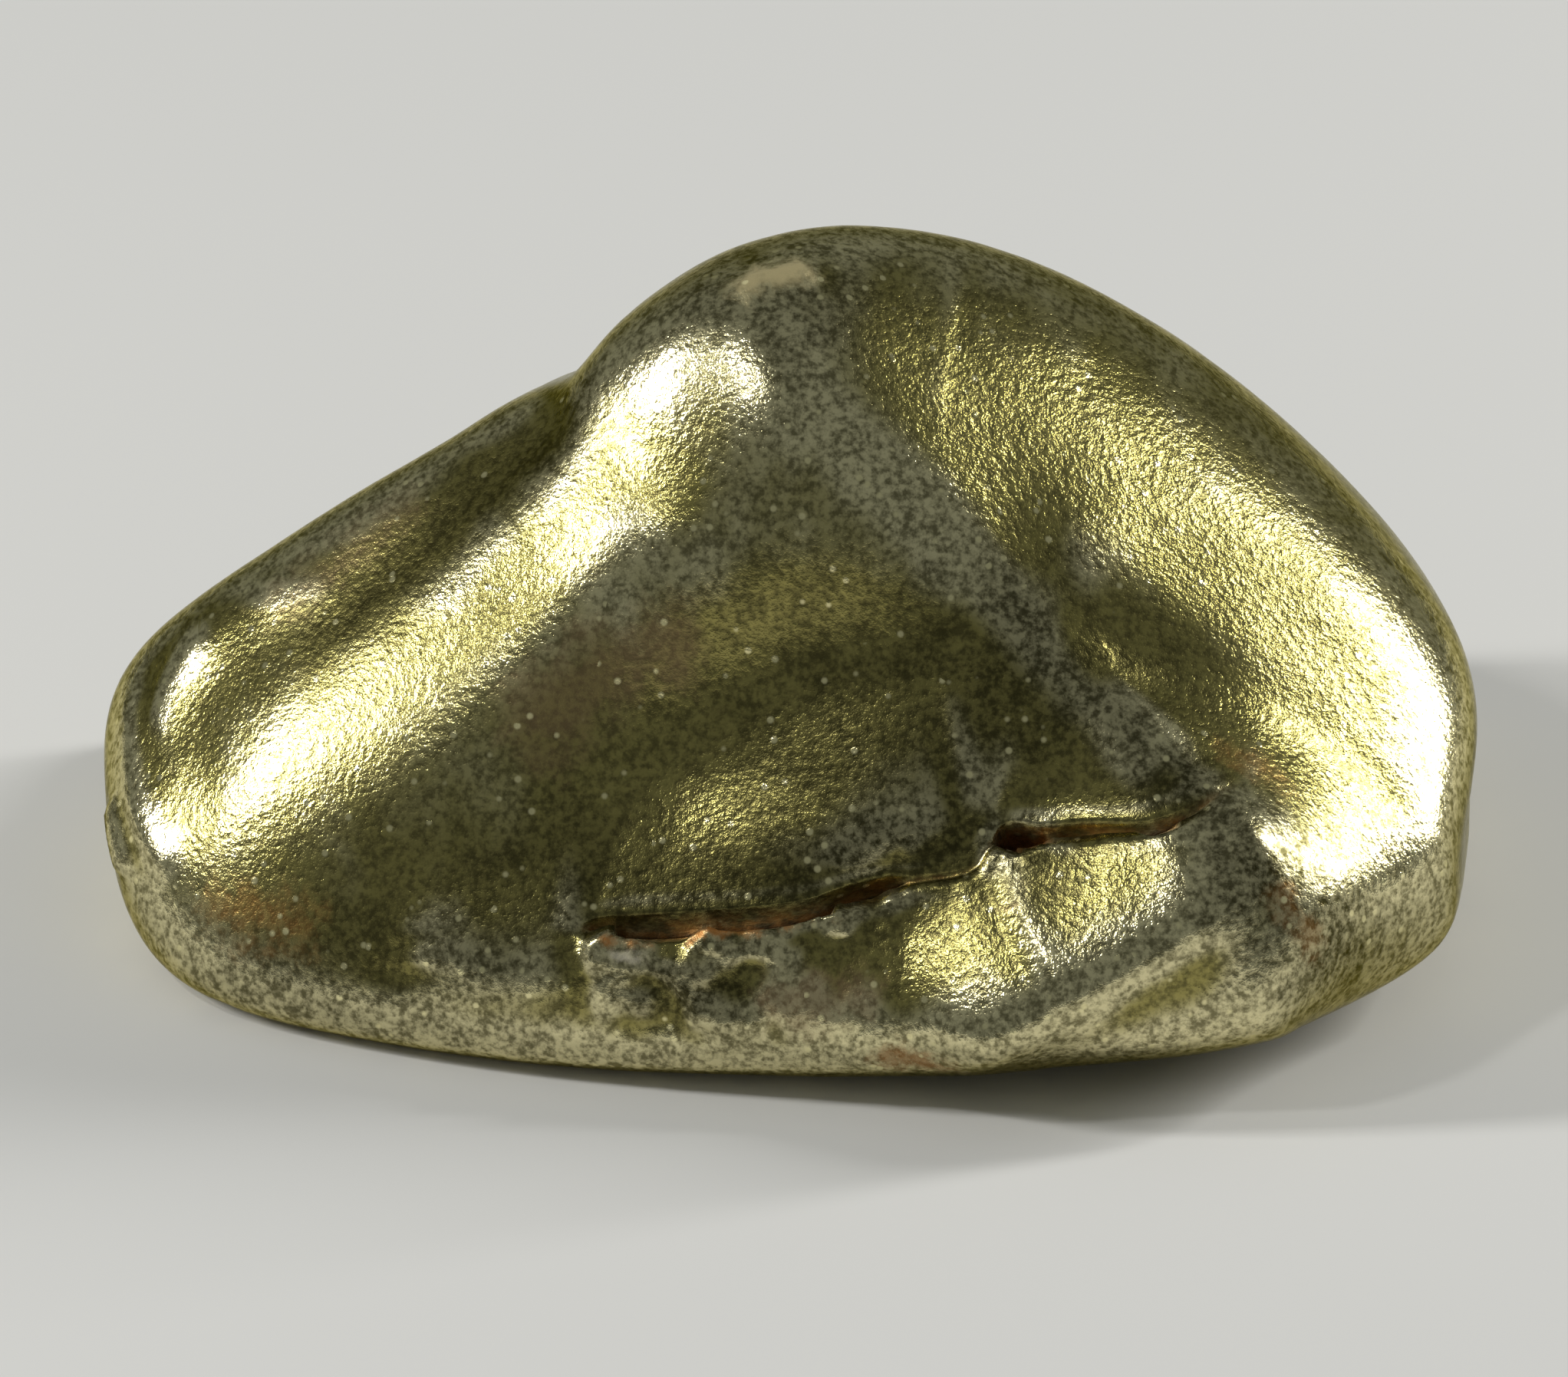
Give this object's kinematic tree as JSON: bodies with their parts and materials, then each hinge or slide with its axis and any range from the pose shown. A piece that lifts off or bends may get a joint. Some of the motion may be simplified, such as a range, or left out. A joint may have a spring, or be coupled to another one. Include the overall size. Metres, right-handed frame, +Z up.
{
  "type": "gold nugget",
  "caption": "Small water-worn gold nugget with a steep hump, a low wing and a folded lip along its front foot; lies on its flat belly.",
  "frame": {"origin": "on the flat belly the nugget rests on, under the middle of its outline", "axes": "+X along the length towards the blunt end under the hump, -Y out of the big worn front face, +Z up"},
  "size_m": [0.006, 0.0042, 0.0031],
  "materials": {
    "native_gold": "native gold rubbed satin-smooth by river gravel, with an olive-brown patina, bright worn ridges, fine pitting and rust-coloured dirt in the fold"
  },
  "bodies": {
    "root": {"nugget": "native_gold"}
  },
  "joints": []
}
